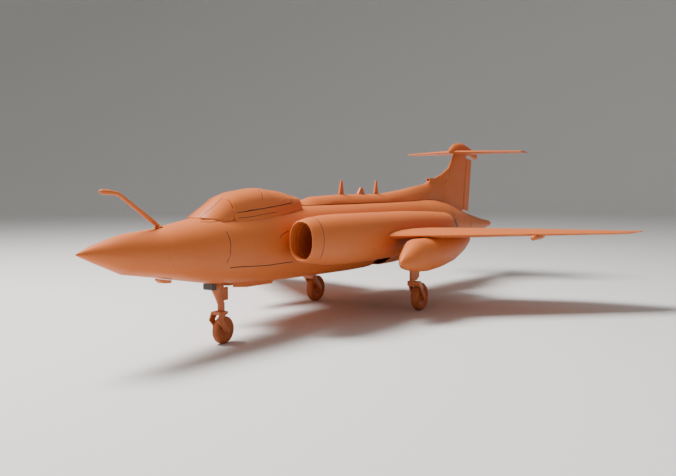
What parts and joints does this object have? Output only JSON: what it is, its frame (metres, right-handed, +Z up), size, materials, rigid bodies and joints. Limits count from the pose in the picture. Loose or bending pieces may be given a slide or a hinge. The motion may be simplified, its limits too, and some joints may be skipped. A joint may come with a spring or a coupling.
{
  "type": "radio-control jet plane",
  "caption": "Twin ducted-fan radio-control jet with mid wing, T-tail, sliding canopy, split tail cone airbrakes and retracting undercarriage.",
  "frame": {"origin": "centre of the bounding box at ground level, under the wheels", "axes": "+Z up, nose towards -Y, left wing towards +X"},
  "size_m": [0.978, 1.404, 0.3525],
  "materials": {
    "moulded_shell": "satin",
    "birch_plywood": "matte",
    "battery_wrap": "gloss",
    "electronics_case": "satin",
    "fan_nylon": "satin",
    "anodised_aluminium": "satin",
    "rolled_aluminium": "satin",
    "duct_liner": "matte",
    "carbon_tube": "gloss",
    "spring_steel": "satin",
    "painted_gear": "satin",
    "painted_hub": "satin",
    "tyre_rubber": "matte"
  },
  "bodies": {
    "airframe": {"nose_cone": "moulded_shell", "chin_fairing": "moulded_shell", "front_fuselage": "moulded_shell", "mid_fuselage": "moulded_shell", "tail_fuselage": "moulded_shell", "dorsal_spine": "moulded_shell", "windshield": "moulded_shell", "probe": "moulded_shell", "battery_tray": "birch_plywood", "battery": "battery_wrap", "receiver": "electronics_case", "speed_controls": "electronics_case", "servos": "electronics_case", "fin": "moulded_shell", "tailplane": "moulded_shell", "aerials": "moulded_shell", "nacelle_left": "moulded_shell", "nacelle_right": "moulded_shell", "intake_lips": "moulded_shell", "inlet_ducts": "duct_liner", "fan_housing_left": "fan_nylon", "fan_housing_right": "fan_nylon", "fan_motors": "anodised_aluminium", "jet_pipes": "rolled_aluminium", "wing_left": "moulded_shell", "wing_right": "moulded_shell", "wing_tips": "moulded_shell", "slipper_tank_left": "moulded_shell", "slipper_tank_right": "moulded_shell", "wing_pods": "moulded_shell", "wing_frame": "birch_plywood", "wing_joiners": "carbon_tube", "hinge_pins": "spring_steel", "nose_mount": "painted_gear", "nose_doors": "moulded_shell", "main_mounts": "painted_gear", "cockpit_sill": "moulded_shell"},
    "canopy": {"canopy": "moulded_shell"},
    "rudder": {"rudder": "moulded_shell"},
    "elevator": {"elevator": "moulded_shell"},
    "aileron_left": {"aileron_left": "moulded_shell"},
    "aileron_right": {"aileron_right": "moulded_shell"},
    "flap_left": {"flap_left": "moulded_shell"},
    "flap_right": {"flap_right": "moulded_shell"},
    "airbrake_left": {"airbrake_left": "moulded_shell"},
    "airbrake_right": {"airbrake_right": "moulded_shell"},
    "fan_left": {"fan_rotor_left": "fan_nylon"},
    "fan_right": {"fan_rotor_right": "fan_nylon"},
    "nose_leg": {"nose_leg": "painted_gear"},
    "nose_fork": {"nose_fork": "painted_gear"},
    "nose_wheel": {"nose_wheel": "painted_hub", "nose_tyre": "tyre_rubber"},
    "main_leg_left": {"main_leg_left": "painted_gear", "main_door_left": "moulded_shell"},
    "main_leg_right": {"main_leg_right": "painted_gear", "main_door_right": "moulded_shell"},
    "main_wheel_left": {"main_wheel_left": "painted_hub", "main_tyre_left": "tyre_rubber"},
    "main_wheel_right": {"main_wheel_right": "painted_hub", "main_tyre_right": "tyre_rubber"}
  },
  "joints": [
    {"name": "canopy_slide", "type": "slide", "parent": "airframe", "child": "canopy", "axis": [0, 0.9959, 0.0906], "range_m": [0, 0.085]},
    {"name": "rudder_hinge", "type": "hinge", "parent": "airframe", "child": "rudder", "pos_m": [0, 0.50785, 0.18206], "axis": [0, 0.1532, 0.9882], "range_deg": [-25, 25]},
    {"name": "elevator_hinge", "type": "hinge", "parent": "airframe", "child": "elevator", "pos_m": [0, 0.54094, 0.327], "axis": [1, 0, 0], "range_deg": [-20, 20]},
    {"name": "flap_left_hinge", "type": "hinge", "parent": "airframe", "child": "flap_left", "pos_m": [0.1296, 0.09265, 0.152], "axis": [-0.9167, -0.3995, 0], "range_deg": [0, 40]},
    {"name": "flap_right_hinge", "type": "hinge", "parent": "airframe", "child": "flap_right", "pos_m": [-0.1296, 0.09265, 0.152], "axis": [-0.9167, 0.3995, 0], "range_deg": [0, 40]},
    {"name": "aileron_left_hinge", "type": "hinge", "parent": "airframe", "child": "aileron_left", "pos_m": [0.30135, 0.16733, 0.152], "axis": [-0.974, -0.2267, 0], "range_deg": [-18, 18]},
    {"name": "aileron_right_hinge", "type": "hinge", "parent": "airframe", "child": "aileron_right", "pos_m": [-0.30135, 0.16733, 0.152], "axis": [-0.974, 0.2267, 0], "range_deg": [-18, 18]},
    {"name": "airbrake_left_hinge", "type": "hinge", "parent": "airframe", "child": "airbrake_left", "pos_m": [0.0345, 0.47574, 0.145], "axis": [0, 0, -1], "range_deg": [0, 55]},
    {"name": "airbrake_right_hinge", "type": "hinge", "parent": "airframe", "child": "airbrake_right", "pos_m": [-0.0345, 0.47574, 0.145], "axis": [0, 0, 1], "range_deg": [0, 55]},
    {"name": "fan_left_spin", "type": "hinge", "parent": "airframe", "child": "fan_left", "pos_m": [0.088, -0.1053, 0.153], "axis": [0, 1, 0], "continuous": true},
    {"name": "fan_right_spin", "type": "hinge", "parent": "airframe", "child": "fan_right", "pos_m": [-0.088, -0.1053, 0.153], "axis": [0, 1, 0], "continuous": true},
    {"name": "main_left_retract", "type": "hinge", "parent": "airframe", "child": "main_leg_left", "pos_m": [0.118, 0, 0.112], "axis": [0, 1, 0], "range_deg": [0, 88]},
    {"name": "main_right_retract", "type": "hinge", "parent": "airframe", "child": "main_leg_right", "pos_m": [-0.118, 0, 0.112], "axis": [0, -1, 0], "range_deg": [0, 88]},
    {"name": "nose_retract", "type": "hinge", "parent": "airframe", "child": "nose_leg", "pos_m": [0, -0.44001, 0.104], "axis": [1, 0, 0], "range_deg": [0, 88]},
    {"name": "nose_steer", "type": "hinge", "parent": "nose_leg", "child": "nose_fork", "pos_m": [0, -0.44001, 0.064], "axis": [0, 0, 1], "range_deg": [-25, 25]},
    {"name": "nose_wheel_roll", "type": "hinge", "parent": "nose_fork", "child": "nose_wheel", "pos_m": [0, -0.43601, 0.021], "axis": [1, 0, 0], "continuous": true},
    {"name": "main_left_roll", "type": "hinge", "parent": "main_leg_left", "child": "main_wheel_left", "pos_m": [0.121, 0, 0.027], "axis": [1, 0, 0], "continuous": true},
    {"name": "main_right_roll", "type": "hinge", "parent": "main_leg_right", "child": "main_wheel_right", "pos_m": [-0.121, 0, 0.027], "axis": [1, 0, 0], "continuous": true}
  ],
  "couplings": [
    {"joint": "flap_right_hinge", "follows": "flap_left_hinge", "ratio": 1},
    {"joint": "aileron_right_hinge", "follows": "aileron_left_hinge", "ratio": -1},
    {"joint": "airbrake_right_hinge", "follows": "airbrake_left_hinge", "ratio": 1},
    {"joint": "main_right_retract", "follows": "main_left_retract", "ratio": 1},
    {"joint": "nose_retract", "follows": "main_left_retract", "ratio": 1},
    {"joint": "nose_steer", "follows": "rudder_hinge", "ratio": 1}
  ]
}
